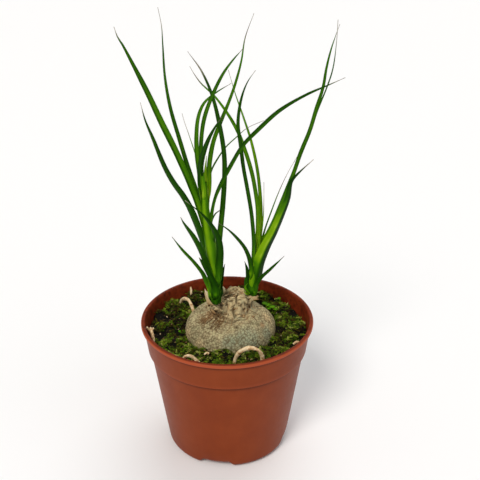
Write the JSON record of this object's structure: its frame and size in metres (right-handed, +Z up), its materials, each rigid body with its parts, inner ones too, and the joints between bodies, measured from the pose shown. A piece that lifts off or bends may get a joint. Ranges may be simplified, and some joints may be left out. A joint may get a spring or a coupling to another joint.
{
  "type": "potted ponytail palm",
  "caption": "Ponytail palm in a round plastic nursery pot: a swollen trunk half sunk in mossy soil, with tufts of long narrow arching leaves on top.",
  "frame": {"origin": "centre of the pot's flat underside, on the surface it stands on", "axes": "+Z up along the pot's axis, -Y towards the viewer of the picture, +X to that viewer's right"},
  "size_m": [0.1441, 0.1226, 0.3056],
  "materials": {
    "pot_plastic": "satin",
    "potting_soil": "matte",
    "moss": "matte",
    "caudex_bark": "matte",
    "dry_root": "matte",
    "young_leaf": "satin",
    "leaf": "satin"
  },
  "bodies": {
    "root": {"pot": "pot_plastic", "soil": "potting_soil", "moss": "moss", "caudex": "caudex_bark", "root_loop_front": "dry_root", "root_loop_front_left": "dry_root", "root_arch_back_left": "dry_root", "root_stub_left": "dry_root", "left_shoot_stem": "young_leaf", "right_shoot_stem": "young_leaf", "left_shoot_leaf_01": "leaf", "left_shoot_leaf_02": "leaf", "left_shoot_leaf_03": "leaf", "left_shoot_leaf_04": "leaf", "left_shoot_leaf_05": "leaf", "left_shoot_leaf_06": "leaf", "left_shoot_leaf_07": "leaf", "left_shoot_leaf_08": "leaf", "left_shoot_leaf_09": "leaf", "left_shoot_leaf_10": "leaf", "left_shoot_leaf_11": "leaf", "left_shoot_leaf_12": "leaf", "left_shoot_leaf_13": "leaf", "left_shoot_leaf_14": "leaf", "left_shoot_leaf_15": "leaf", "left_shoot_leaf_16": "leaf", "left_shoot_leaf_17": "leaf", "left_shoot_leaf_18": "leaf", "right_shoot_leaf_01": "leaf", "right_shoot_leaf_02": "leaf", "right_shoot_leaf_03": "leaf", "right_shoot_leaf_04": "leaf", "right_shoot_leaf_05": "leaf", "right_shoot_leaf_06": "leaf", "right_shoot_leaf_07": "leaf", "right_shoot_leaf_08": "leaf", "right_shoot_leaf_09": "leaf", "right_shoot_leaf_10": "leaf", "right_shoot_leaf_11": "leaf"}
  },
  "joints": []
}
